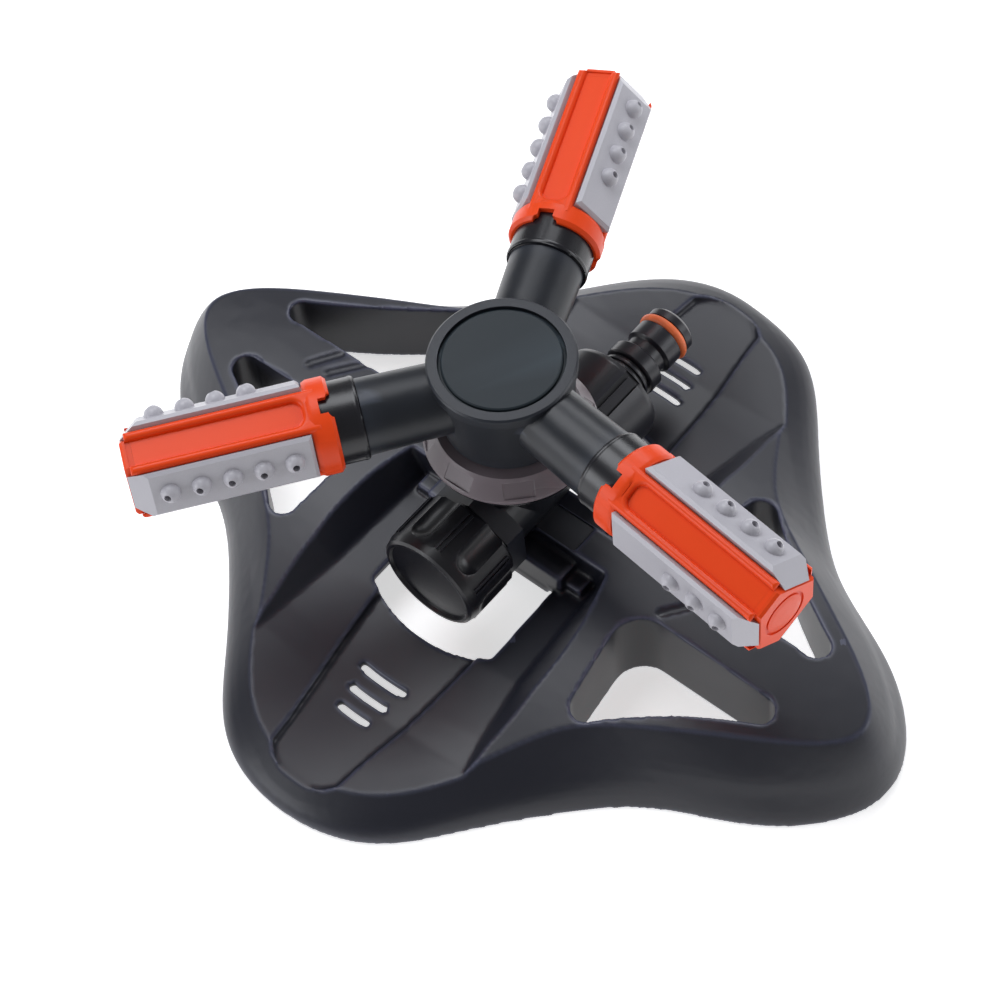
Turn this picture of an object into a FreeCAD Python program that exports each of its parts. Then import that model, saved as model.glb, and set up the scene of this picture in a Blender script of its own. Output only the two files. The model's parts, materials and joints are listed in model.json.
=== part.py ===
import FreeCAD, Part
import math
import os

# A three-arm rotating lawn sprinkler, in millimetres.
# The floor is z = 0 and the rotor turns about +Z. The water pipe lies along X, with the inlet at +X.
# The base has two trough lobes (+X and -X) and two plateau lobes (+Y and -Y).

# ---- base shell ----
WALL = 2.4
LEVEL_ANGLES = (0, 15, 30, 45, 60, 75, 90)          # degrees from the pipe axis, mirrored in all four quarters
LEVEL_RADII = {                                      # outline radius of the skirt at each height
    0.0: (104.9, 101.1, 90.0, 85.2, 89.3, 110.8, 126.6),
    4.0: (103.9, 100.1, 89.1, 84.3, 88.4, 109.8, 126.0),
    8.0: (98.4, 95.3, 86.0, 82.0, 86.6, 107.0, 124.9),
    13.0: (90.0, 87.4, 80.0, 77.6, 83.3, 103.5, 123.2),
    18.0: (82.0, 80.0, 74.5, 73.0, 79.5, 99.0, 121.0),
    23.0: (74.0, 72.6, 68.4, 67.6, 75.5, 94.0, 118.0),
    30.0: (62.0, 61.2, 58.6, 58.6, 69.0, 84.0, 112.0),
}
TOP_HEIGHT = 27.5                                    # plateau height at the middle
TOP_FALL_X = 0.0029                                  # the plateau falls away as the square of x
TOP_LEVEL_X = 72.0                                   # and runs level past here, above the trough's shoulders
TOP_FALL_Y = 0.0006                                  # and, past TOP_FLAT_Y, as the square of y
TOP_FLAT_Y = 40.0

# Trough cross-sections: distance from the middle, then the half width and height of the sunk strip along
# the floor, of the wall foot and of the wall ridge
TROUGH = (
    (5.2, 20.0, 14.0, 31.0, 16.6, 35.0, 27.4),
    (18.0, 19.6, 13.6, 31.5, 16.6, 38.6, 26.6),
    (42.0, 18.0, 12.2, 32.8, 15.7, 40.0, 22.4),
    (60.0, 16.4, 9.9, 35.4, 14.3, 39.2, 17.1),
    (69.5, 15.2, 8.7, 37.4, 13.0, 38.4, 13.9),
    (86.0, 12.6, 8.3, 40.5, 11.9, 41.5, 12.8),
    (93.0, 12.0, 8.1, 42.0, 11.4, 43.0, 12.3),
    (96.0, 9.4, 8.0, 42.6, 11.2, 43.6, 12.1),
    (97.8, 5.8, 8.0, 43.0, 11.1, 44.0, 12.0),
    (99.4, 1.4, 8.0, 43.3, 11.0, 44.3, 11.9),
    (135.0, 1.2, 7.0, 50.0, 9.6, 51.0, 10.5),
)
STRIP_DEPTH = 1.8                                    # the strip lies this far below its sides
STRIP_LEAN = 0.7
ABOVE = 45.0                                         # cutters run up past the whole shell
PAD_HEIGHT = 22.6
PAD_HALF = (12.5, 24.0)
STEP_HEIGHT = 19.5
STEP_HALF = (10.7, 29.5)
OPENING_RADIUS = 44.8
OPENING_INNER = 12.7
OPENING_HALF = 21.5
DRAIN_SLOTS = ((61.0, 8.2), (67.3, 6.6), (73.4, 5.6))  # radius and half length of each curved slot
DRAIN_WIDTH = 2.2
# Cut-out outline in the +X +Y quarter, as tip circle, shoulder circle, hub circle and corner circle
CUTOUT_TIP = (12.4, 92.6, 4.0)
CUTOUT_HUB = (17.5, 56.5, 9.0)
CUTOUT_CORNER = (38.2, 54.6, 4.5)
CUTOUT_SIDE = (24.5, 79.6)                           # the point the outer side bends in through
CUTOUT_FLOOR = 0.8                                   # the cut-out walls stop this far above the floor
RECESS_DEPTH = 0.7
RECESS_WIDTH = 2.8
RECESSES = ((3.0, 75.2, 12.0, -33.0), (4.6, 67.4, 15.0, -37.0), (-2.8, -56.6, 10.0, -37.0))  # x, y, length, degrees

# ---- water pipe ----
PIPE_Z = 31.5
PIPE_R = 10.5
PIPE_BORE = 7.5
PIPE_ENDS = (-19.0, 23.0)
COLLAR_LENGTH = 6.7                                  # six-sided collars beside the spigots
SPIGOT_R = 13.0
SPIGOT_CORE = 11.9
SPIGOT_LENGTH = 15.0
THREAD_PITCH = 1.814                                 # 3/4 inch pipe thread
THREAD_TURNS = 7
RISER_R = 11.0
RISER_BORE = 6.5
RISER_TOP = 50.0
EAR_HALF = 23.0
EAR_WIDTH = 9.0
EAR_HEIGHT = 4.0
SCREW_Y = 18.5
SCREW_R = 1.9
SCREW_HEAD_R = 3.6
SCREW_HEAD = 2.4
FIT = 0.05                                           # radial clearance of a turning or screwed fit

# ---- inlet adapter ----
ADAPTER_BACK = 24.0
ADAPTER_NUT_R = 15.6
ADAPTER_NUT_END = 43.3
ADAPTER_GROOVES = 4
ADAPTER_GROOVE_TURN = 32.0
NIPPLE_NECK_R = 7.0
NIPPLE_COLLAR_R = 8.3
NIPPLE_GROOVE_R = 6.2
NIPPLE_R = 7.4
NIPPLE_BORE = 4.6
NIPPLE_END = 69.0
O_RING_X = 64.3
O_RING_R = 8.05
O_RING_CORD = 1.35

# ---- end cap ----
CAP_BACK = -20.0
CAP_FRONT = -38.8
CAP_R = 15.8
CAP_SCALLOPS = 6
CAP_TURN = 40.0
CAP_SCOOP_R = 6.0
CAP_SCOOP_DEPTH = 1.9
CAP_SCOOP_END = -31.0                                # the scoops run out towards the pipe from here

# ---- bearing and spindle ----
CUP_BOTTOM = 43.0
CUP_RIM_Z = 59.6
CUP_R = 23.4
CUP_CAVITY_R = 13.5
CUP_CAVITY_Z = 55.0
CUP_NECK_R = 18.2
CUP_NECK_TOP = 64.4
RING_R = 23.8
RING_TOP_R = 20.0
RING_TOP = 66.2
RING_PANELS = 8
RING_TURN = 1.0
SPINDLE_R = 7.0
SPINDLE_TAIL_R = 5.4
SPINDLE_BORE = 3.9
SPINDLE_FLANGE = (56.1, 58.5)
SPINDLE_FLANGE_R = 12.6
SPINDLE_TOP = 74.0

# ---- hub and arms ----
HUB_TOP = 92.5
HUB_R = 20.0
HUB_FOOT_R = 17.8
HUB_FOOT = 67.0
HUB_CHAMBER_R = 13.0
HUB_RIM_IN = 16.9
ARM_Z = 81.6
ARM_AZIMUTHS = (23.2, 143.2, 263.2)
HEAD_ROLLS = (-8.7, -11.3, -91.2)                    # how far each head is turned about its arm at rest
ARM_FOOT_R = 9.7
ARM_END_R = 10.3
ARM_BORE = 7.6
ARM_END = 38.4
COLLAR_R = 11.2
COLLAR_END = 49.2
JOURNAL_R = 6.0
JOURNAL_BORE = 3.2
JOURNAL_END = 60.0
CLIP_X = 57.6

# ---- spray heads ----
HEAD_START = 45.6
HEAD_HEX = 49.5
HEAD_END = 98.2
HEAD_TIP = 101.1
HEAD_RING_R = 12.9
HEAD_RING_CHAMFER = 0.9
HEAD_CORE = 10.5                                     # half width across the flats, at the channel floors
HEAD_CHAMBER_R = 7.4
RIM_TOP = 12.0                                       # the rim round each channel stands this far out
RIM_ROUND = 1.2
RIM_END = 99.6
CHANNEL_START = 53.4
CHANNEL_WIDTH = 7.2
CHANNEL_CORNER = 2.6
NOTCH_WIDTH = 4.4
NOTCH_END = 48.9
BAR_START = 52.4
BAR_END = 101.0
BAR_FLOOR = 8.8                                      # distance of the bar's back from the arm axis
BAR_FACE = 12.9
BAR_SLOPE_START = 95.6                               # the outer end slopes down from here
BAR_EDGE = 0.9
BAR_GAP = 0.12
NOZZLE_PITCH = 8.2
NOZZLE_MIDDLE = 74.5
NOZZLE_R = 2.65
NOZZLE_HEIGHT = 2.7
NOZZLE_HOLE = 0.95
NOZZLE_TILT = 25.0                                   # the outermost jet leans outward by this angle
PLATE_APOTHEM = 10.9
DISC_R = 5.9
WEDGE = math.tan(math.radians(30))                   # each face fills the sector 30 degrees to each side
BAR_ANGLES = {"five": -60.0, "four": 60.0, "three": 180.0}
BAR_COUNTS = {"five": 5, "four": 4, "three": 3}

UP = FreeCAD.Vector(0, 0, 1)
OUT = FreeCAD.Vector(1, 0, 0)
ORIGIN = FreeCAD.Vector(0, 0, 0)


def at(x, y, z):
    return FreeCAD.Vector(x, y, z)


def upright(radius, low, high, x=0.0, y=0.0):
    return Part.makeCylinder(radius, high - low, at(x, y, low), UP)


def along_x(radius, start, end, z=0.0):
    return Part.makeCylinder(radius, end - start, at(start, 0, z), OUT)


def block(x0, x1, y0, y1, z0, z1):
    return Part.makeBox(x1 - x0, y1 - y0, z1 - z0, at(x0, y0, z0))


def turned(profile, z=None):
    """Solid of revolution. The profile is (distance along, radius) pairs; about Z, or about X at height z."""
    if z is None:
        points = [at(radius, 0, along) for along, radius in profile]
        face = Part.Face(Part.makePolygon(points + points[:1]))
        return face.revolve(ORIGIN, UP, 360)
    points = [at(along, 0, z + radius) for along, radius in profile]
    face = Part.Face(Part.makePolygon(points + points[:1]))
    return face.revolve(at(0, 0, z), OUT, 360)


def spun(shape, angle, axis=OUT, centre=ORIGIN):
    copy = shape.copy()
    copy.rotate(centre, axis, angle)
    return copy


def four_ways(shape):
    """The shape in the +X +Y quarter and its mirror images in the other three."""
    side = shape.mirror(ORIGIN, OUT)
    return [shape, side, shape.mirror(ORIGIN, at(0, 1, 0)), side.mirror(ORIGIN, at(0, 1, 0))]


def save(shape, name):
    shape.exportStep(f"parts/{name}.step")


# ---------------------------------------------------------------- base shell


def level_radius(radii, angle):
    folded = angle % 180
    if folded > 90:
        folded = 180 - folded
    return radii[LEVEL_ANGLES.index(folded)]


def skirt(inset):
    """The four-lobed body, as a smooth loft through level outlines."""
    wires = []
    for height, radii in LEVEL_RADII.items():
        points = []
        for angle in range(0, 360, 15):
            radius = level_radius(radii, angle) - inset
            turn = math.radians(angle)
            points.append(at(radius * math.cos(turn), radius * math.sin(turn), height))
        curve = Part.BSplineCurve()
        curve.interpolate(Points=points, PeriodicFlag=True)
        wires.append(Part.Wire(curve.toShape()))
    return Part.makeLoft(wires, True, False)


def crown(drop):
    """Everything under the gently domed top surface."""
    rows = []
    for x in range(-140, 141, 20):
        row = []
        across = min(abs(x), TOP_LEVEL_X)
        for y in range(-150, 151, 30):
            past = max(0.0, abs(y) - TOP_FLAT_Y)
            height = TOP_HEIGHT - TOP_FALL_X * across ** 2 - TOP_FALL_Y * past ** 2 - drop
            row.append(at(x, y, height))
        rows.append(row)
    surface = Part.BSplineSurface()
    surface.interpolate(rows)
    return surface.toShape().extrude(at(0, 0, -80))


def trough(start, sink, spread):
    """The space above one end of the trough, sunk and spread for the inside of the shell."""
    wires = []
    for index, section in enumerate(TROUGH):
        x, strip_y, strip_z, foot_y, foot_z, ridge_y, ridge_z = section
        if index == 0:
            x = start
        slope = (ridge_y - foot_y) / (ridge_z - foot_z)
        top_y = foot_y + slope * (ABOVE - foot_z)
        half = [(strip_y - STRIP_LEAN, strip_z - sink), (strip_y, strip_z + STRIP_DEPTH - sink),
                (foot_y + spread, foot_z - sink), (top_y + spread, ABOVE)]
        loop = [at(x, y, z) for y, z in half] + [at(x, -y, z) for y, z in reversed(half)]
        wires.append(Part.makePolygon(loop + loop[:1]))
    far = Part.makeLoft(wires, True, True)
    return far.fuse(far.mirror(ORIGIN, OUT))


def circle_tangents(first, second):
    """Ends of the outer tangent line from one circle to the next, both on the same side."""
    dx = second[0] - first[0]
    dy = second[1] - first[1]
    span = math.hypot(dx, dy)
    lean = math.acos((first[2] - second[2]) / span)
    heading = math.atan2(dy, dx) - lean
    ends = []
    for x, y, radius in (first, second):
        ends.append(at(x + radius * math.cos(heading), y + radius * math.sin(heading), 0))
    return ends


def cutout(grow, low):
    """One through cut-out: three rounded corners, with the side towards the rim bowed inwards."""
    tip = (CUTOUT_TIP[0], CUTOUT_TIP[1], CUTOUT_TIP[2] + grow)
    hub = (CUTOUT_HUB[0], CUTOUT_HUB[1], CUTOUT_HUB[2] + grow)
    corner = (CUTOUT_CORNER[0], CUTOUT_CORNER[1], CUTOUT_CORNER[2] + grow)
    inner = circle_tangents(tip, hub)
    near = circle_tangents(hub, corner)
    outer = circle_tangents(corner, tip)
    bow = at(CUTOUT_SIDE[0] + grow * 0.75, CUTOUT_SIDE[1] + grow * 0.66, 0)
    edges = [
        Part.LineSegment(inner[0], inner[1]).toShape(),
        Part.Arc(inner[1], far_point(hub, 225), near[0]).toShape(),
        Part.LineSegment(near[0], near[1]).toShape(),
        Part.Arc(near[1], far_point(corner, -20), outer[0]).toShape(),
        Part.Arc(outer[0], bow, outer[1]).toShape(),
        Part.Arc(outer[1], far_point(tip, 110), inner[0]).toShape(),
    ]
    face = Part.Face(Part.Wire(edges))
    face.translate(at(0, 0, low))
    return face.extrude(at(0, 0, ABOVE - low))


def far_point(circle, angle):
    turn = math.radians(angle)
    return at(circle[0] + circle[2] * math.cos(turn), circle[1] + circle[2] * math.sin(turn), 0)


def drain_slot(radius, half_length):
    """A slot curved about the rotor axis, through the trough floor."""
    half_angle = math.degrees(half_length / radius)
    outer = upright(radius + DRAIN_WIDTH / 2, 0, 16)
    inner = upright(radius - DRAIN_WIDTH / 2, 0, 16)
    ring = outer.cut(inner)
    reach = radius + 10
    tangent = math.tan(math.radians(half_angle))
    points = [at(0, 0, 0), at(reach, -reach * tangent, 0), at(reach, reach * tangent, 0)]
    wedge = Part.Face(Part.makePolygon(points + points[:1])).extrude(at(0, 0, 16))
    return ring.common(wedge)


def recess(x, y, length, direction):
    """A shallow blind slot with round ends, sunk into the plateau."""
    straight = length - RECESS_WIDTH
    low = TOP_HEIGHT - TOP_FALL_Y * (abs(y) - TOP_FLAT_Y) ** 2 - RECESS_DEPTH
    radius = RECESS_WIDTH / 2
    slot = block(-straight / 2, straight / 2, -radius, radius, 0, 5)
    slot = slot.fuse(upright(radius, 0, 5, -straight / 2))
    slot = slot.fuse(upright(radius, 0, 5, straight / 2))
    slot.rotate(ORIGIN, UP, direction)
    slot.translate(at(x, y, low))
    return slot


def base_shell():
    pads = block(-PAD_HALF[0], PAD_HALF[0], -PAD_HALF[1], PAD_HALF[1], 8, PAD_HEIGHT)
    pads = pads.fuse(block(-STEP_HALF[0], STEP_HALF[0], -STEP_HALF[1], STEP_HALF[1], 8, STEP_HEIGHT))
    outside = skirt(0).common(crown(0)).cut(trough(TROUGH[0][0], 0, 0)).fuse(pads)
    inside = skirt(WALL).common(crown(WALL)).cut(trough(TROUGH[0][0] - WALL, WALL, WALL * 0.6))
    thin = WALL / 2
    inside = inside.fuse(block(-PAD_HALF[0] + WALL, PAD_HALF[0] - WALL, -PAD_HALF[1] + WALL,
                               PAD_HALF[1] - WALL, -1, PAD_HEIGHT - WALL))
    for grown in four_ways(cutout(thin + 1.0, -1)):
        inside = inside.cut(grown)
    bosses = [upright(SCREW_HEAD_R + WALL, 8, PAD_HEIGHT - thin, 0, side * SCREW_Y) for side in (-1, 1)]
    for boss in bosses:
        inside = inside.cut(boss)
    shell = outside.cut(inside)
    for hole in four_ways(cutout(0, -1)):
        shell = shell.cut(hole)
    for liner in four_ways(cutout(thin + 1.0, -1)):
        shell = shell.cut(liner.common(block(-130, 130, -130, 130, -1, CUTOUT_FLOOR)))
    opening = upright(OPENING_RADIUS, 0, 30).common(
        block(OPENING_INNER, 60, -OPENING_HALF, OPENING_HALF, 0, 30))
    cutters = [opening, opening.mirror(ORIGIN, OUT)]
    for radius, half_length in DRAIN_SLOTS:
        slot = drain_slot(radius, half_length)
        cutters += [slot, slot.mirror(ORIGIN, OUT)]
    for x, y, length, direction in RECESSES:
        cutters.append(recess(x, y, length, direction))
    cradle = PIPE_R + 0.15
    cutters.append(along_x(cradle, -40, 40, PIPE_Z))
    cutters.append(upright(RISER_R + 0.3, PIPE_Z, ABOVE))
    ear = block(-EAR_WIDTH / 2 - 0.2, EAR_WIDTH / 2 + 0.2, -EAR_HALF - 0.2, EAR_HALF + 0.2, PAD_HEIGHT, ABOVE)
    cutters.append(ear)
    for side in (-1, 1):
        cutters.append(upright(SCREW_R + 0.1, 5, PAD_HEIGHT + 1, 0, side * SCREW_Y))
        cutters.append(upright(SCREW_HEAD_R + 0.2, 5, PAD_HEIGHT - 6.0, 0, side * SCREW_Y))
    for cutter in cutters:
        shell = shell.cut(cutter)
    return shell


# ---------------------------------------------------------------- water pipe and what is on it


def manifold():
    left, right = PIPE_ENDS
    body = along_x(PIPE_R, left, right, PIPE_Z)
    body = body.fuse(upright(RISER_R, PIPE_Z, RISER_TOP))
    for start, end in ((left - SPIGOT_LENGTH, left), (right, right + SPIGOT_LENGTH)):
        body = body.fuse(along_x(SPIGOT_CORE, start, end, PIPE_Z))
        for index in range(THREAD_TURNS):
            thread = start + 1.4 + index * THREAD_PITCH
            body = body.fuse(along_x(SPIGOT_R, thread, thread + THREAD_PITCH / 2, PIPE_Z))
    for start in (left - 0.5, right + 0.5 - COLLAR_LENGTH):
        collar = Part.makePolygon([at(start, (PIPE_R + 2.4) * math.cos(math.radians(60 * k + 30)) / math.cos(
            math.radians(30)), PIPE_Z + (PIPE_R + 2.4) * math.sin(math.radians(60 * k + 30)) / math.cos(
            math.radians(30))) for k in range(7)])
        body = body.fuse(Part.Face(collar).extrude(at(COLLAR_LENGTH, 0, 0)))
    body = body.cut(washer(RISER_R, RISER_R + 3.8, CUP_BOTTOM - 0.1, CUP_BOTTOM + 6))
    ears = block(-EAR_WIDTH / 2, EAR_WIDTH / 2, -EAR_HALF, EAR_HALF, PAD_HEIGHT, PAD_HEIGHT + EAR_HEIGHT)
    body = body.fuse(ears)
    body = body.cut(along_x(PIPE_BORE, left - 30, right + 30, PIPE_Z))
    body = body.cut(upright(RISER_BORE, PIPE_Z, RISER_TOP + 1))
    for side in (-1, 1):
        body = body.cut(upright(SCREW_R, 0, PAD_HEIGHT + EAR_HEIGHT - 0.6, 0, side * SCREW_Y))
    return body


def mounting_screws():
    screws = []
    for side in (-1, 1):
        low = PAD_HEIGHT - 6.0
        screw = upright(SCREW_R - 0.02, low, PAD_HEIGHT + EAR_HEIGHT - 0.8, 0, side * SCREW_Y)
        screw = screw.fuse(upright(SCREW_HEAD_R, low - SCREW_HEAD, low, 0, side * SCREW_Y))
        for turn in (0, 90):
            arm = block(-2.0, 2.0, -0.5, 0.5, low - SCREW_HEAD, low - SCREW_HEAD + 1.4)
            arm.rotate(ORIGIN, UP, turn)
            arm.translate(at(0, side * SCREW_Y, 0))
            screw = screw.cut(arm)
        screws.append(screw)
    return Part.makeCompound(screws)


def inlet_adapter():
    """Grip nut screwed on the pipe, ending in a quick-connect nipple."""
    start = ADAPTER_BACK
    nut = ADAPTER_NUT_END
    body = turned([
        (start, SPIGOT_R + FIT), (start, ADAPTER_NUT_R - 0.8), (start + 0.8, ADAPTER_NUT_R),
        (nut - 3.4, ADAPTER_NUT_R), (nut - 1.4, ADAPTER_NUT_R - 0.9), (nut - 0.3, ADAPTER_NUT_R - 3.0),
        (nut + 0.6, NIPPLE_NECK_R + 2.4), (nut + 0.8, NIPPLE_NECK_R), (nut + 1.8, NIPPLE_NECK_R),
        (nut + 1.8, NIPPLE_NECK_R + 0.7), (nut + 2.6, NIPPLE_NECK_R + 0.7), (nut + 2.6, NIPPLE_NECK_R),
        (nut + 3.4, NIPPLE_NECK_R), (nut + 3.4, NIPPLE_NECK_R + 0.7), (nut + 4.2, NIPPLE_NECK_R + 0.7),
        (nut + 4.2, NIPPLE_NECK_R), (nut + 5.2, NIPPLE_NECK_R),
        (nut + 5.4, NIPPLE_COLLAR_R - 0.4), (nut + 5.9, NIPPLE_COLLAR_R), (nut + 9.6, NIPPLE_COLLAR_R),
        (nut + 10.2, NIPPLE_COLLAR_R - 0.6), (nut + 10.2, NIPPLE_GROOVE_R), (nut + 13.6, NIPPLE_GROOVE_R),
        (nut + 14.4, NIPPLE_R), (O_RING_X - 1.5, NIPPLE_R), (O_RING_X - 1.5, O_RING_R - 2 * O_RING_CORD),
        (O_RING_X + 1.5, O_RING_R - 2 * O_RING_CORD), (O_RING_X + 1.5, NIPPLE_R),
        (NIPPLE_END - 1.0, NIPPLE_R), (NIPPLE_END, NIPPLE_R - 1.0), (NIPPLE_END, NIPPLE_BORE),
        (nut - 1.9, NIPPLE_BORE), (nut - 1.9, SPIGOT_R + FIT),
    ], PIPE_Z)
    for index in range(ADAPTER_GROOVES):
        groove = block(start + 3.0, nut - 1.6, -2.5, 2.5, ADAPTER_NUT_R - 1.4, ADAPTER_NUT_R + 2)
        groove = groove.cut(block(start + 3.0, nut - 2.8, -1.9, 0.9, 0, ADAPTER_NUT_R - 0.3))
        groove.translate(at(0, 0, PIPE_Z))
        turn = 360 / ADAPTER_GROOVES * index + ADAPTER_GROOVE_TURN
        body = body.cut(spun(groove, turn, OUT, at(0, 0, PIPE_Z)))
    return body


def ring_along_x(inner, outer, start, end):
    return along_x(outer, start, end, PIPE_Z).cut(along_x(inner, start - 1, end + 1, PIPE_Z))


def inlet_washer():
    end = PIPE_ENDS[1] + SPIGOT_LENGTH
    return ring_along_x(PIPE_BORE, SPIGOT_R - 0.2, end + 0.02, end + 1.9)


def inlet_filter():
    """Gauze cone rim and its flat gauze, drawn as a disc with rows of square holes."""
    end = PIPE_ENDS[1] + SPIGOT_LENGTH + 1.92
    disc = along_x(SPIGOT_R - 0.4, end, end + 1.2, PIPE_Z)
    holes = []
    for row in range(-3, 4):
        for column in range(-3, 4):
            if row * row + column * column < 10:
                hole = block(end - 1, end + 3, row * 1.9 - 0.7, row * 1.9 + 0.7, column * 1.9 - 0.7,
                             column * 1.9 + 0.7)
                hole.translate(at(0, 0, PIPE_Z))
                holes.append(hole)
    return disc.cut(Part.makeCompound(holes))


def inlet_o_ring():
    return Part.makeTorus(O_RING_R - O_RING_CORD, O_RING_CORD, at(O_RING_X, 0, PIPE_Z), OUT)


def end_cap():
    """Screw cap with finger scallops, ribs between them and a sunk end face."""
    body = turned([
        (CAP_BACK, SPIGOT_R + FIT), (CAP_BACK, CAP_R - 0.8), (CAP_BACK - 0.8, CAP_R - 0.2),
        (CAP_FRONT + 3.0, CAP_R), (CAP_FRONT + 0.6, CAP_R - 0.6), (CAP_FRONT, CAP_R - 1.4),
        (CAP_FRONT, CAP_R - 2.2), (CAP_FRONT + 0.9, CAP_R - 2.6), (CAP_FRONT + 0.9, 0),
        (CAP_FRONT + 3.0, 0), (CAP_FRONT + 3.0, SPIGOT_R + FIT),
    ], PIPE_Z)
    for index in range(CAP_SCALLOPS):
        turn = 360 / CAP_SCALLOPS * index + CAP_TURN
        height = PIPE_Z + CAP_R + CAP_SCOOP_R - CAP_SCOOP_DEPTH
        scoop = Part.makeCylinder(CAP_SCOOP_R, 30, at(CAP_SCOOP_END, 0, height), OUT)
        scoop = scoop.fuse(Part.makeSphere(CAP_SCOOP_R, at(CAP_SCOOP_END, 0, height)))
        body = body.cut(spun(scoop, turn, OUT, at(0, 0, PIPE_Z)))
        for lean in (-2.6, 2.6):
            rib = block(CAP_FRONT + 3.4, CAP_BACK - 1.6, -0.35, 0.35, CAP_R - 0.8, CAP_R + 0.35)
            rib.translate(at(0, 0, PIPE_Z))
            between = 180 / CAP_SCALLOPS + lean
            body = body.fuse(spun(rib, turn + between, OUT, at(0, 0, PIPE_Z)))
    return body


def end_cap_washer():
    end = PIPE_ENDS[0] - SPIGOT_LENGTH
    return ring_along_x(PIPE_BORE, SPIGOT_R - 0.2, CAP_FRONT + 3.02, end - 0.02)


def bearing_cup():
    return turned([
        (CUP_BOTTOM, RISER_R + 0.02), (CUP_BOTTOM, RISER_R + 2.2), (CUP_BOTTOM + 3.0, RISER_R + 2.8),
        (CUP_BOTTOM + 6.5, RISER_R + 5.2), (CUP_BOTTOM + 10.5, RISER_R + 9.2), (CUP_BOTTOM + 14.0, CUP_R - 0.8),
        (CUP_RIM_Z - 1.0, CUP_R), (CUP_RIM_Z, CUP_R), (CUP_RIM_Z, CUP_NECK_R),
        (CUP_NECK_TOP, CUP_NECK_R), (CUP_NECK_TOP, CUP_CAVITY_R), (CUP_CAVITY_Z, CUP_CAVITY_R),
        (CUP_CAVITY_Z, SPINDLE_TAIL_R + 2.7), (CUP_CAVITY_Z - 2.4, SPINDLE_TAIL_R + 2.7),
        (CUP_CAVITY_Z - 2.4, RISER_BORE), (RISER_TOP, RISER_BORE), (RISER_TOP, RISER_R + 0.02),
    ])


def retaining_ring():
    """Conical ring nut with shallow panels sunk between its ribs."""
    body = turned([
        (CUP_RIM_Z + 0.02, CUP_NECK_R + 0.02), (CUP_RIM_Z + 0.02, RING_R), (CUP_RIM_Z + 0.9, RING_R),
        (RING_TOP, RING_TOP_R), (RING_TOP, 9.4), (CUP_NECK_TOP + 0.02, 9.4), (CUP_NECK_TOP + 0.02, CUP_NECK_R + 0.02),
    ])
    lean = math.degrees(math.atan2(RING_R - RING_TOP_R, RING_TOP - CUP_RIM_Z - 0.9))
    for index in range(RING_PANELS):
        panel = block(-0.5, 3, -4.2, 4.2, 0.9, 5.6)
        panel.rotate(ORIGIN, at(0, 1, 0), -lean)
        panel.translate(at(RING_R, 0, CUP_RIM_Z + 0.9))
        body = body.cut(spun(panel, 360 / RING_PANELS * index + RING_TURN, UP))
    return body


def washer(inner, outer, low, high):
    return upright(outer, low, high).cut(upright(inner, low - 1, high + 1))


def spindle_seal():
    return washer(SPINDLE_TAIL_R + 0.06, SPINDLE_TAIL_R + 2.68, CUP_CAVITY_Z - 2.38, CUP_CAVITY_Z)


def lower_thrust_washer():
    return washer(SPINDLE_R + 1.6, CUP_CAVITY_R - 0.1, CUP_CAVITY_Z, SPINDLE_FLANGE[0] - 0.05)


def upper_thrust_washer():
    return washer(SPINDLE_R + 0.3, CUP_CAVITY_R - 0.1, SPINDLE_FLANGE[1] + 0.05, SPINDLE_FLANGE[1] + 1.0)


def spindle_bush():
    low = SPINDLE_FLANGE[1] + 1.0
    return washer(SPINDLE_R + FIT, CUP_CAVITY_R - 0.02, low, CUP_NECK_TOP).fuse(
        washer(SPINDLE_R + FIT, 9.2, CUP_NECK_TOP - 1, RING_TOP - 0.2))


def spindle():
    low, high = SPINDLE_FLANGE
    return turned([
        (CUP_CAVITY_Z - 6.0, SPINDLE_BORE), (CUP_CAVITY_Z - 6.0, SPINDLE_TAIL_R), (low, SPINDLE_TAIL_R),
        (low, SPINDLE_FLANGE_R), (high, SPINDLE_FLANGE_R), (high, SPINDLE_R), (SPINDLE_TOP, SPINDLE_R),
        (SPINDLE_TOP, SPINDLE_BORE),
    ])


# ---------------------------------------------------------------- hub and arms


def on_arm(shape, index):
    """Move a piece drawn along +X at the origin out to its arm."""
    copy = shape.copy()
    copy.rotate(ORIGIN, UP, ARM_AZIMUTHS[index])
    copy.translate(at(0, 0, ARM_Z))
    return copy


def on_head(shape, index):
    """The same for a piece of the spray head, turned to the head's angle at rest."""
    return on_arm(spun(shape, HEAD_ROLLS[index]), index)


def hub_body():
    body = turned([
        (HUB_FOOT, 0), (HUB_FOOT, HUB_FOOT_R - 0.8), (HUB_FOOT + 0.8, HUB_FOOT_R),
        (HUB_TOP - 4.2, HUB_R - 0.9), (HUB_TOP - 3.4, HUB_R - 0.1), (HUB_TOP - 0.5, HUB_R), (HUB_TOP, HUB_R - 0.5),
        (HUB_TOP, 0),
    ])
    for index in range(len(ARM_AZIMUTHS)):
        arm = Part.makeCone(ARM_FOOT_R, ARM_END_R, ARM_END - 10, at(10, 0, 0), OUT)
        body = body.fuse(on_arm(arm, index))
    body = body.cut(upright(HUB_RIM_IN, HUB_TOP - 2.4, HUB_TOP + 1))
    body = body.cut(upright(HUB_CHAMBER_R, SPINDLE_TOP + 0.6, HUB_TOP))
    body = body.cut(upright(SPINDLE_R + 0.02, HUB_FOOT - 1, SPINDLE_TOP + 1))
    for index in range(len(ARM_AZIMUTHS)):
        body = body.cut(on_arm(along_x(ARM_BORE, 5, ARM_END + 1), index))
    return body


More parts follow.
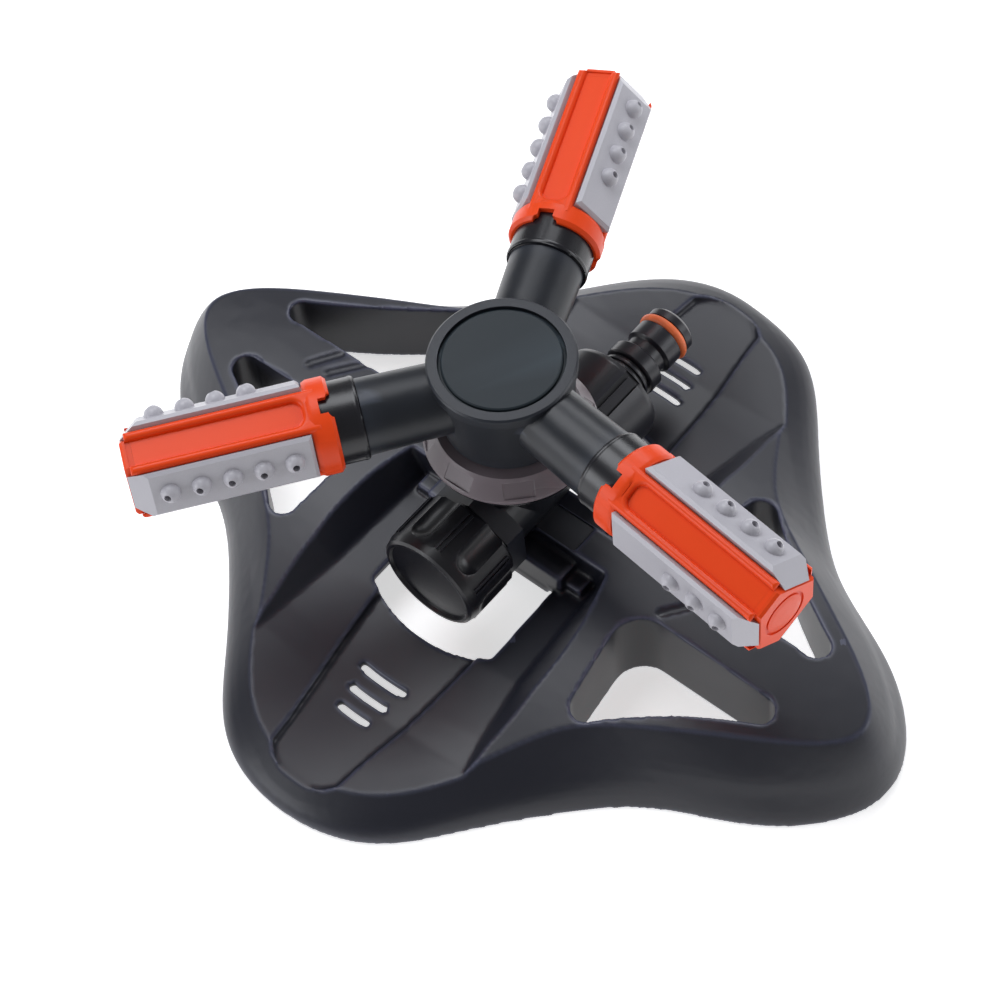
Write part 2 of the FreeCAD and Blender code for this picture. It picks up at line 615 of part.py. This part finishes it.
def hub_cap():
    cap = turned([
        (HUB_TOP - 1.4, 0), (HUB_TOP - 1.4, HUB_RIM_IN - 0.05), (HUB_TOP - 1.1, HUB_RIM_IN - 0.05),
        (HUB_TOP - 1.1, HUB_RIM_IN - 0.8), (HUB_TOP - 0.4, HUB_RIM_IN - 0.9), (HUB_TOP - 0.1, HUB_RIM_IN - 1.3),
        (HUB_TOP - 0.1, 0),
    ])
    return cap.fuse(washer(HUB_CHAMBER_R - 2.2, HUB_CHAMBER_R - 0.1, HUB_TOP - 5.0, HUB_TOP - 1.3))


def hub_cap_gasket():
    return washer(HUB_CHAMBER_R + 0.1, HUB_RIM_IN - 0.1, HUB_TOP - 2.38, HUB_TOP - 1.42)


def head_collar():
    """Stepped collar pushed into the arm's end, with the journal that the spray head turns on."""
    body = turned([
        (ARM_END - 9, JOURNAL_BORE), (ARM_END - 9, ARM_BORE - 0.04), (ARM_END, ARM_BORE - 0.04),
        (ARM_END, COLLAR_R - 0.5), (ARM_END + 0.5, COLLAR_R + 0.1), (ARM_END + 1.4, COLLAR_R + 0.1),
        (ARM_END + 1.6, COLLAR_R), (COLLAR_END, COLLAR_R), (COLLAR_END, JOURNAL_R),
        (52.2, JOURNAL_R), (52.2, JOURNAL_R - 1.7), (54.0, JOURNAL_R - 1.7), (54.0, JOURNAL_R),
        (CLIP_X, JOURNAL_R), (CLIP_X, JOURNAL_R - 0.9), (CLIP_X + 1.1, JOURNAL_R - 0.9),
        (CLIP_X + 1.1, JOURNAL_R), (JOURNAL_END - 0.6, JOURNAL_R), (JOURNAL_END, JOURNAL_R - 0.6),
        (JOURNAL_END, JOURNAL_BORE),
    ], 0)
    return body


def head_o_ring():
    return Part.makeTorus(JOURNAL_R - 0.85, 0.82, at(53.1, 0, 0), OUT)


def head_clip():
    ring = along_x(HEAD_CHAMBER_R - 0.4, CLIP_X + 0.05, CLIP_X + 1.0).cut(
        along_x(JOURNAL_R - 0.88, CLIP_X - 1, CLIP_X + 2))
    return ring.cut(block(CLIP_X - 1, CLIP_X + 2, -2.5, 2.5, -10, 0))


# ---------------------------------------------------------------- spray heads


def hexagon(apothem, start, end):
    corner = apothem / math.cos(math.radians(30))
    points = []
    for index in range(7):
        turn = math.radians(60 * index)
        points.append(at(start, corner * math.cos(turn), corner * math.sin(turn)))
    return Part.Face(Part.makePolygon(points)).extrude(at(end - start, 0, 0))


def channel_rim():
    """The raised rim round three sides of one orange channel, with rounded edges. Drawn on the +Z side."""
    low = BAR_FLOOR - 1.0
    outline = [at(HEAD_HEX, -low * WEDGE, low), at(HEAD_HEX, low * WEDGE, low),
               at(HEAD_HEX, RIM_TOP * WEDGE, RIM_TOP), at(HEAD_HEX, -RIM_TOP * WEDGE, RIM_TOP)]
    rim = Part.Face(Part.makePolygon(outline + outline[:1])).extrude(at(RIM_END - HEAD_HEX, 0, 0))
    half = CHANNEL_WIDTH / 2
    inner = CHANNEL_START + CHANNEL_CORNER
    channel = block(inner, RIM_END + 1, -half, half, HEAD_CORE, HEAD_CORE + 5)
    channel = channel.fuse(block(CHANNEL_START, inner, -half + CHANNEL_CORNER, half - CHANNEL_CORNER,
                                 HEAD_CORE, HEAD_CORE + 5))
    for side in (-1, 1):
        channel = channel.fuse(upright(CHANNEL_CORNER, HEAD_CORE, HEAD_CORE + 5, inner,
                                       side * (half - CHANNEL_CORNER)))
    rim = rim.cut(channel).removeSplitter()
    edges = []
    for edge in rim.Edges:
        box = edge.BoundBox
        if box.ZMin > RIM_TOP - 0.1 and box.XMax > HEAD_HEX + 0.1:
            edges.append(edge)
    rim = rim.makeFillet(RIM_ROUND, edges)
    return rim.cut(block(HEAD_END, RIM_END + 1, -10, 10, 0, PLATE_APOTHEM + 0.05))


def prism_on_x(outline, start, end):
    """A prism along X from (y, z) points."""
    loop = [at(start, y, z) for y, z in outline]
    return Part.Face(Part.makePolygon(loop + loop[:1])).extrude(at(end - start, 0, 0))


def prism_across(outline):
    """A wide prism along Y from (x, z) points, for sloping cuts."""
    loop = [at(x, -20, z) for x, z in outline]
    return Part.Face(Part.makePolygon(loop + loop[:1])).extrude(at(0, 40, 0))


def head_body():
    """Six-sided body: three orange faces with a rimmed channel, and three pockets for the nozzle bars."""
    body = hexagon(HEAD_CORE, HEAD_HEX, HEAD_END)
    rim = channel_rim()
    for index in range(3):
        body = body.fuse(spun(rim, 120 * index))
    body = body.common(Part.makeCone(HEAD_RING_R, HEAD_RING_R + 60, 60, at(HEAD_HEX, 0, 0), OUT))
    body = body.fuse(turned([(HEAD_START, 5), (HEAD_START, HEAD_RING_R - HEAD_RING_CHAMFER),
                             (HEAD_START + HEAD_RING_CHAMFER, HEAD_RING_R), (HEAD_HEX + 1.3, HEAD_RING_R),
                             (BAR_START - 0.3, HEAD_RING_R - 0.6), (BAR_START - 0.3, 5)], 0))
    body = body.cut(along_x(COLLAR_R + 0.07, HEAD_START - 1, COLLAR_END + 0.1))
    body = body.cut(along_x(JOURNAL_R + 0.06, HEAD_START, CLIP_X - 0.1))
    body = body.cut(along_x(HEAD_CHAMBER_R, CLIP_X - 0.1, HEAD_END + 2))
    face = BAR_FACE + 6
    pocket = prism_on_x([(-BAR_FLOOR * WEDGE, BAR_FLOOR), (BAR_FLOOR * WEDGE, BAR_FLOOR),
                         (face * WEDGE, face), (-face * WEDGE, face)], BAR_START, HEAD_TIP + 1)
    window = block(CLIP_X + 3, HEAD_END - 4, -2.5, 2.5, 0, BAR_FLOOR + 1)
    notch = block(HEAD_START - 1, NOTCH_END, -NOTCH_WIDTH / 2, NOTCH_WIDTH / 2, 5, 20)
    for side in (-1, 1):
        flare = upright(1.2, 5, 20, HEAD_START, side * NOTCH_WIDTH / 2)
        notch = notch.fuse(flare)
    for index in range(3):
        turn = 120 * index
        body = body.cut(spun(notch, turn))
        body = body.cut(spun(pocket, turn + 60))
        body = body.cut(spun(window, turn + 60))
    return body


def nozzle_bar(kind):
    """A grey bar with domed jets, drawn on the +Z side. It fills its whole face of the head."""
    low = BAR_FLOOR + BAR_GAP
    start = BAR_START + BAR_GAP
    slim = BAR_GAP / math.cos(math.radians(30))
    brow = BAR_FACE - BAR_EDGE
    half = [(low * WEDGE - slim, low), (brow * WEDGE - slim, brow), (brow * WEDGE - slim - 0.9, BAR_FACE)]
    body = prism_on_x(half + [(-y, z) for y, z in reversed(half)], start, BAR_END)
    body = body.cut(prism_across([(BAR_END + 1, low - 0.8), (BAR_END + 1, 20), (BAR_SLOPE_START - 8, 20),
                                  (BAR_SLOPE_START, BAR_FACE)]))
    body = body.cut(prism_across([(start - 1, brow - 1), (start - 1, 20), (start + 20, 20),
                                  (start + BAR_EDGE, BAR_FACE)]))
    body = body.cut(block(CLIP_X + 5, HEAD_END - 5, -2.2, 2.2, 0, BAR_FACE - 1.8))
    outermost = NOZZLE_MIDDLE + 2 * NOZZLE_PITCH
    for index in range(BAR_COUNTS[kind]):
        x = outermost - index * NOZZLE_PITCH
        rise = NOZZLE_HEIGHT - NOZZLE_R
        body = body.fuse(Part.makeCone(NOZZLE_R + 0.2, NOZZLE_R, rise + 0.2, at(x, 0, BAR_FACE - 0.2), UP))
        ball = Part.makeSphere(NOZZLE_R, at(x, 0, BAR_FACE + rise))
        body = body.fuse(ball.common(block(x - 4, x + 4, -4, 4, BAR_FACE + rise - 0.1, BAR_FACE + 6)))
    for index in range(BAR_COUNTS[kind]):
        x = outermost - index * NOZZLE_PITCH
        tilt = math.radians(NOZZLE_TILT * (1 - index / 4))
        aim = at(math.sin(tilt), 0, math.cos(tilt))
        body = body.cut(Part.makeCylinder(NOZZLE_HOLE, 9, at(x, 0, BAR_FACE) - aim * 3.5, aim))
    return body


def head_end():
    """End plate with a round disc in its middle, a groove round the disc, and chamfered sides."""
    plate = hexagon(PLATE_APOTHEM, HEAD_END + 0.02, HEAD_TIP)
    chamfer = prism_across([(HEAD_TIP - 0.8, PLATE_APOTHEM + 0.1), (HEAD_TIP - 0.8, 20), (HEAD_TIP + 1, 20),
                            (HEAD_TIP + 1, PLATE_APOTHEM - 1.7)])
    side = prism_across([(HEAD_END - 1, BAR_FLOOR - 0.05), (HEAD_END - 1, 20), (HEAD_TIP + 1, 20),
                         (HEAD_TIP + 1, BAR_FLOOR - 0.9), (HEAD_TIP - 0.8, BAR_FLOOR - 0.05)])
    for index in range(3):
        plate = plate.cut(spun(chamfer, 120 * index))
        plate = plate.cut(spun(side, 60 + 120 * index))
    half = CHANNEL_WIDTH / 2
    channel = block(HEAD_END - 1, HEAD_END + 1.4, -half, half, HEAD_CORE, 20)
    for index in range(3):
        plate = plate.cut(spun(channel, 120 * index))
    plate = plate.cut(along_x(DISC_R + 0.9, HEAD_TIP - 0.5, HEAD_TIP + 1).cut(
        along_x(DISC_R, HEAD_TIP - 1, HEAD_TIP + 1)))
    plate = plate.fuse(turned([(HEAD_TIP - 1.0, 0), (HEAD_TIP - 1.0, DISC_R), (HEAD_TIP - 0.1, DISC_R),
                               (HEAD_TIP + 0.1, DISC_R - 1.4), (HEAD_TIP + 0.2, 0)], 0))
    return plate.fuse(along_x(HEAD_CHAMBER_R - 0.05, HEAD_END - 2.6, HEAD_END + 1).cut(
        along_x(HEAD_CHAMBER_R - 1.6, HEAD_END - 4, HEAD_END)))


os.makedirs("parts", exist_ok=True)

save(base_shell(), "base_shell")
save(manifold(), "manifold")
save(mounting_screws(), "mounting_screws")
save(bearing_cup(), "bearing_cup")
save(retaining_ring(), "retaining_ring")
save(inlet_adapter(), "inlet_adapter")
save(inlet_o_ring(), "inlet_o_ring")
save(inlet_washer(), "inlet_washer")
save(inlet_filter(), "inlet_filter")
save(end_cap(), "end_cap")
save(end_cap_washer(), "end_cap_washer")
save(spindle_seal(), "spindle_seal")
save(lower_thrust_washer(), "lower_thrust_washer")
save(upper_thrust_washer(), "upper_thrust_washer")
save(spindle_bush(), "spindle_bush")
save(spindle(), "spindle")
save(hub_body(), "hub_body")
save(hub_cap(), "hub_cap")
save(hub_cap_gasket(), "hub_cap_gasket")

for arm in range(len(ARM_AZIMUTHS)):
    number = arm + 1
    save(on_arm(head_collar(), arm), f"head_collar_{number}")
    save(on_arm(head_o_ring(), arm), f"head_o_ring_{number}")
    save(on_arm(head_clip(), arm), f"head_clip_{number}")
    save(on_head(head_body(), arm), f"head_body_{number}")
    save(on_head(head_end(), arm), f"head_end_{number}")
    for bar, angle in BAR_ANGLES.items():
        save(on_head(spun(nozzle_bar(bar), angle), arm), f"nozzle_bar_{bar}_{number}")
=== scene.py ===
import json
import math

import bpy
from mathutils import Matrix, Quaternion, Vector


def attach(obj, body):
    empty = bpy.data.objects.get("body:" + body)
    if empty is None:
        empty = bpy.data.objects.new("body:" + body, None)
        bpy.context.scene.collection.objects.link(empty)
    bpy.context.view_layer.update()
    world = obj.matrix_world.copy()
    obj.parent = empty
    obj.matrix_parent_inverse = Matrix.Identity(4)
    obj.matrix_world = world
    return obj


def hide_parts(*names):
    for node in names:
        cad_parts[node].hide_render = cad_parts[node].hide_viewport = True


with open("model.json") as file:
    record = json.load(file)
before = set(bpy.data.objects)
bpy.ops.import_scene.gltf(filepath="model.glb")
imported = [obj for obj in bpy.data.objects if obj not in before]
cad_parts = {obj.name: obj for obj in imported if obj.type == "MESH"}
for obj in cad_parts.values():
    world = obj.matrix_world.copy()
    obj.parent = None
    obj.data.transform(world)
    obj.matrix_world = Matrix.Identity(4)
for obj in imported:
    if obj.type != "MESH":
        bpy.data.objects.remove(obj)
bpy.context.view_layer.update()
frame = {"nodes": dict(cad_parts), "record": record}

nodes = frame["nodes"]

# Colour sockets of a Mix node in RGBA mode.
MIX_A = 6
MIX_B = 7
MIX_RESULT = 2

# Moulded plastic. Scales are cycles per metre, distances are metres.
CLOUD_SCALE = 24.0
GRAIN_SCALE = 3600.0
GRAIN_DEPTH = 0.00004
# Paler convex edges: partly rubbed wear, partly a painted highlight along the ridges.
WEAR_SHEEN_STRENGTH = 0.6
WEAR_SHEEN_CRISP = (0.51, 0.57)
WEAR_SHEEN_MOULDED = (0.503, 0.535)

# Rubber.
RUBBER_SCALE = 300.0
RUBBER_DEPTH = 0.0001

# Turned metal.
TOOL_MARKS = (40.0, 40.0, 2600.0)
TARNISH_SCALE = 90.0
TOOL_MARK_DEPTH = 0.00008

# Softened edges of the CAD pieces.
EDGE_WIDTH = 0.0004
EDGE_SEGMENTS = 2
EDGE_ANGLE = 28
WELD_DISTANCE = 0.000002

# The base's rounded moulding.
MOULD_VOXEL = 0.0006
MOULD_SMOOTHING = 0.5
MOULD_PASSES = 3

FLOOR_HALF = 8
FLOOR_GLOW = 0.6
SKY_STRENGTH = 0.22
LIGHT_COLOUR = (0.94, 0.96, 1.0)
LIGHT_TARGET = (0, 0, 0.03)

CAMERA_PLACE = (-0.3248, -0.3356, 0.7333)
CAMERA_TARGET = (0.0082, 0.0167, 0.0)
CAMERA_ROLL = -8.0
CAMERA_LENS = 110.16
CAMERA_SENSOR = 36.0


# ---------------------------------------------------------------- materials


def new_material(name):
    """A material, its Principled shader, and helpers that add nodes and link sockets."""
    material = bpy.data.materials.new(name)
    material.use_nodes = True
    tree = material.node_tree
    shader = tree.nodes["Principled BSDF"]

    def add(kind, inputs=None, **settings):
        node = tree.nodes.new(kind)
        for key, value in settings.items():
            setattr(node, key, value)
        for key, value in (inputs or {}).items():
            if isinstance(value, bpy.types.NodeSocket):
                tree.links.new(value, node.inputs[key])
            else:
                node.inputs[key].default_value = value
        return node

    return material, shader, add, tree.links.new


def noise(add, place, scale, detail, **more):
    """Noise over a piece, as a value from 0 to 1."""
    inputs = {"Vector": place, "Scale": scale, "Detail": detail, **more}
    return add("ShaderNodeTexNoise", inputs).outputs["Fac"]


def ramp(add, source, stops):
    """A colour ramp from (position, colour) stops."""
    node = add("ShaderNodeValToRGB", {"Fac": source})
    elements = node.color_ramp.elements
    while len(elements) < len(stops):
        elements.new(0.5)
    for element, (position, colour) in zip(elements, stops):
        element.position = position
        element.color = (*colour, 1)
    return node.outputs["Color"]


def between(add, value, **limits):
    """A value carried from one range to another."""
    return add("ShaderNodeMapRange", {"Value": value, **limits}).outputs["Result"]


def relief(add, link, shader, height, strength, distance):
    """Fine surface relief."""
    bump = add("ShaderNodeBump", {"Strength": strength, "Distance": distance, "Height": height})
    link(bump.outputs["Normal"], shader.inputs["Normal"])


def shade(colour, factor):
    return tuple(min(1.0, channel * factor) for channel in colour)


def plastic(name, colour, rough, mottle=0.06, wear_sheen_gain=2.2, wear_sheen_range=WEAR_SHEEN_CRISP, specular=0.5):
    """Moulded plastic: very fine spark-eroded grain, slow uneven tone, and paler convex edges that are
    partly rubbed wear and partly a painted highlight along the ridges.
    """
    material, shader, add, link = new_material(name)
    place = add("ShaderNodeTexCoord").outputs["Object"]
    cloud = noise(add, place, CLOUD_SCALE, 3.0, Roughness=0.5)
    fine = noise(add, place, GRAIN_SCALE, 2.0)
    tone = ramp(add, cloud, [(0.3, shade(colour, 1 - mottle)), (0.7, shade(colour, 1 + mottle))])
    speck = ramp(add, fine, [(0.35, (0.95, 0.95, 0.95)), (0.65, (1.0, 1.0, 1.0))])
    base = add("ShaderNodeMix", {"Factor": 1.0, MIX_A: tone, MIX_B: speck},
               data_type="RGBA", blend_type="MULTIPLY")
    # Edges are lightened by pointiness. This is partly rubbed wear and partly painted ridge highlight.
    edge = add("ShaderNodeNewGeometry").outputs["Pointiness"]
    wear_sheen_mask = between(add, edge, **{"From Min": wear_sheen_range[0], "From Max": wear_sheen_range[1], "To Max": WEAR_SHEEN_STRENGTH})
    wear_sheen_colour = add("ShaderNodeMix", {"Factor": wear_sheen_mask, MIX_A: base.outputs[MIX_RESULT],
                                 MIX_B: (*shade(colour, wear_sheen_gain), 1)}, data_type="RGBA")
    link(wear_sheen_colour.outputs[MIX_RESULT], shader.inputs["Base Color"])
    gloss = between(add, cloud, **{"From Min": 0.3, "From Max": 0.7,
                                   "To Min": rough - 0.04, "To Max": rough + 0.05})
    link(gloss, shader.inputs["Roughness"])
    relief(add, link, shader, fine, 0.25, GRAIN_DEPTH)
    shader.inputs["Specular IOR Level"].default_value = specular
    return material


def rubber(name, colour):
    """Soft rubber with a cloudy bloom."""
    material, shader, add, link = new_material(name)
    place = add("ShaderNodeTexCoord").outputs["Object"]
    cloud = noise(add, place, RUBBER_SCALE, 5.0)
    tone = ramp(add, cloud, [(0.3, shade(colour, 0.85)), (0.7, shade(colour, 1.15))])
    link(tone, shader.inputs["Base Color"])
    gloss = between(add, cloud, **{"To Min": 0.42, "To Max": 0.62})
    link(gloss, shader.inputs["Roughness"])
    relief(add, link, shader, cloud, 0.3, RUBBER_DEPTH)
    return material


def metal(name, colour, rough):
    """Turned metal with fine tool marks and a little tarnish."""
    material, shader, add, link = new_material(name)
    place = add("ShaderNodeTexCoord").outputs["Object"]
    stretched = add("ShaderNodeMapping", {"Vector": place, "Scale": TOOL_MARKS})
    marks = noise(add, stretched.outputs["Vector"], 1.0, 3.0)
    cloud = noise(add, place, TARNISH_SCALE, 4.0)
    tone = ramp(add, cloud, [(0.3, shade(colour, 0.75)), (0.7, colour)])
    link(tone, shader.inputs["Base Color"])
    gloss = between(add, marks, **{"To Min": rough - 0.08, "To Max": rough + 0.12})
    link(gloss, shader.inputs["Roughness"])
    relief(add, link, shader, marks, 0.2, TOOL_MARK_DEPTH)
    shader.inputs["Metallic"].default_value = 1.0
    return material


looks = {
    # The base and hub get a strong edge gain. It paints highlights along their ridges on top of the
    # wear.
    "charcoal": plastic("charcoal", (0.013, 0.014, 0.022), rough=0.36, wear_sheen_gain=7.0, wear_sheen_range=WEAR_SHEEN_MOULDED,
                        specular=0.42),
    "pipe_charcoal": plastic("pipe_charcoal", (0.009, 0.010, 0.014), rough=0.34),
    "adapter_charcoal": plastic("adapter_charcoal", (0.011, 0.011, 0.016), rough=0.34),
    "cap_charcoal": plastic("cap_charcoal", (0.006, 0.006, 0.009), rough=0.32),
    "dark_bearing": plastic("dark_bearing", (0.005, 0.005, 0.007), rough=0.24),
    "ring_grey": plastic("ring_grey", (0.135, 0.112, 0.125), rough=0.30),
    "hub_charcoal": plastic("hub_charcoal", (0.011, 0.013, 0.018), rough=0.36, wear_sheen_gain=5.0, specular=0.38),
    "hub_disc": plastic("hub_disc", (0.016, 0.023, 0.029), rough=0.48, specular=0.25),
    "collar_black": plastic("collar_black", (0.007, 0.007, 0.010), rough=0.26),
    "orange_plastic": plastic("orange_plastic", (0.80, 0.062, 0.008), rough=0.34, mottle=0.03, wear_sheen_gain=1.08,
                              specular=0.25),
    "nozzle_grey": plastic("nozzle_grey", (0.46, 0.45, 0.49), rough=0.34, mottle=0.03, wear_sheen_gain=1.0,
                           specular=0.4),
    "orange_rubber": rubber("orange_rubber", (0.82, 0.17, 0.05)),
    "black_rubber": rubber("black_rubber", (0.018, 0.018, 0.019)),
    "white_plastic": plastic("white_plastic", (0.70, 0.70, 0.66), rough=0.35, mottle=0.03, wear_sheen_gain=1.05),
    "filter_mesh": plastic("filter_mesh", (0.36, 0.37, 0.39), rough=0.5),
    "brass": metal("brass", (0.78, 0.52, 0.20), 0.28),
    "steel": metal("steel", (0.62, 0.62, 0.64), 0.30),
}

for entry in frame["record"]["subparts"]:
    mesh = nodes[entry["node"]].data
    mesh.materials.clear()
    mesh.materials.append(looks[entry["material_slot"]])


# ---------------------------------------------------------------- CAD pieces with softened edges


def soften(node):
    """Rounds a piece's sharp edges slightly and shades its curved faces smoothly."""
    piece = nodes[node]
    weld = piece.modifiers.new("weld", "WELD")
    weld.merge_threshold = WELD_DISTANCE
    bevel = piece.modifiers.new("edge", "BEVEL")
    bevel.width = EDGE_WIDTH
    bevel.segments = EDGE_SEGMENTS
    bevel.limit_method = "ANGLE"
    bevel.angle_limit = math.radians(EDGE_ANGLE)
    bevel.harden_normals = False
    for polygon in piece.data.polygons:
        polygon.use_smooth = True
    normals = piece.modifiers.new("normals", "WEIGHTED_NORMAL")
    normals.keep_sharp = True


for name in nodes:
    if name != "base_shell":
        soften(name)


# ---------------------------------------------------------------- base, moulded with rounded ridges


def moulded_base():
    """The base shell with its ridges and corners melted together, as a moulding's are."""
    source = nodes["base_shell"]
    piece = bpy.data.objects.new("base_moulding", source.data.copy())
    bpy.context.scene.collection.objects.link(piece)
    remesh = piece.modifiers.new("remesh", "REMESH")
    remesh.mode = "VOXEL"
    remesh.voxel_size = MOULD_VOXEL
    remesh.use_smooth_shade = True
    smooth = piece.modifiers.new("smooth", "SMOOTH")
    smooth.factor = MOULD_SMOOTHING
    smooth.iterations = MOULD_PASSES
    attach(piece, "base")
    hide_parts("base_shell")


moulded_base()


# ---------------------------------------------------------------- floor, light and camera


def floor_sheet():
    """A plain pale floor that glows a little, so its shadows stay soft."""
    material, shader, _, _ = new_material("floor")
    shader.inputs["Base Color"].default_value = (0.90, 0.90, 0.90, 1)
    shader.inputs["Roughness"].default_value = 0.6
    shader.inputs["Emission Color"].default_value = (1, 1, 1, 1)
    shader.inputs["Emission Strength"].default_value = FLOOR_GLOW
    half = FLOOR_HALF
    corners = [(-half, -half, 0), (half, -half, 0), (half, half, 0), (-half, half, 0)]
    mesh = bpy.data.meshes.new("floor")
    mesh.from_pydata(corners, [], [(0, 1, 2, 3)])
    mesh.materials.append(material)
    floor = bpy.data.objects.new("floor", mesh)
    bpy.context.scene.collection.objects.link(floor)


def area_light(name, place, size, power):
    light = bpy.data.lights.new(name, "AREA")
    light.size = size
    light.energy = power
    light.color = LIGHT_COLOUR
    lamp = bpy.data.objects.new(name, light)
    lamp.location = place
    towards = Vector(LIGHT_TARGET) - Vector(place)
    lamp.rotation_euler = towards.to_track_quat("-Z", "Y").to_euler()
    bpy.context.scene.collection.objects.link(lamp)


def studio_world():
    """An even white surround."""
    world = bpy.data.worlds.new("studio")
    world.use_nodes = True
    background = world.node_tree.nodes["Background"]
    background.inputs["Color"].default_value = (1, 1, 1, 1)
    background.inputs["Strength"].default_value = SKY_STRENGTH
    bpy.context.scene.world = world


def place_camera():
    camera = bpy.data.cameras.new("camera")
    camera.lens = CAMERA_LENS
    camera.sensor_width = CAMERA_SENSOR
    camera.clip_end = 50.0
    eye = bpy.data.objects.new("camera", camera)
    eye.location = CAMERA_PLACE
    gaze = (Vector(CAMERA_TARGET) - eye.location).to_track_quat("-Z", "Y")
    eye.rotation_mode = "QUATERNION"
    eye.rotation_quaternion = gaze @ Quaternion((0, 0, 1), math.radians(CAMERA_ROLL))
    bpy.context.scene.collection.objects.link(eye)
    bpy.context.scene.camera = eye


floor_sheet()
area_light("overhead", (0.10, 0.62, 1.25), 0.8, 10.0)
area_light("back", (1.05, 0.45, 1.00), 0.6, 6.0)
area_light("left", (-1.30, 0.70, 0.55), 0.7, 8.0)
area_light("right", (0.95, -1.10, 0.60), 0.7, 6.0)
studio_world()
bpy.context.scene.view_settings.view_transform = "Standard"
place_camera()
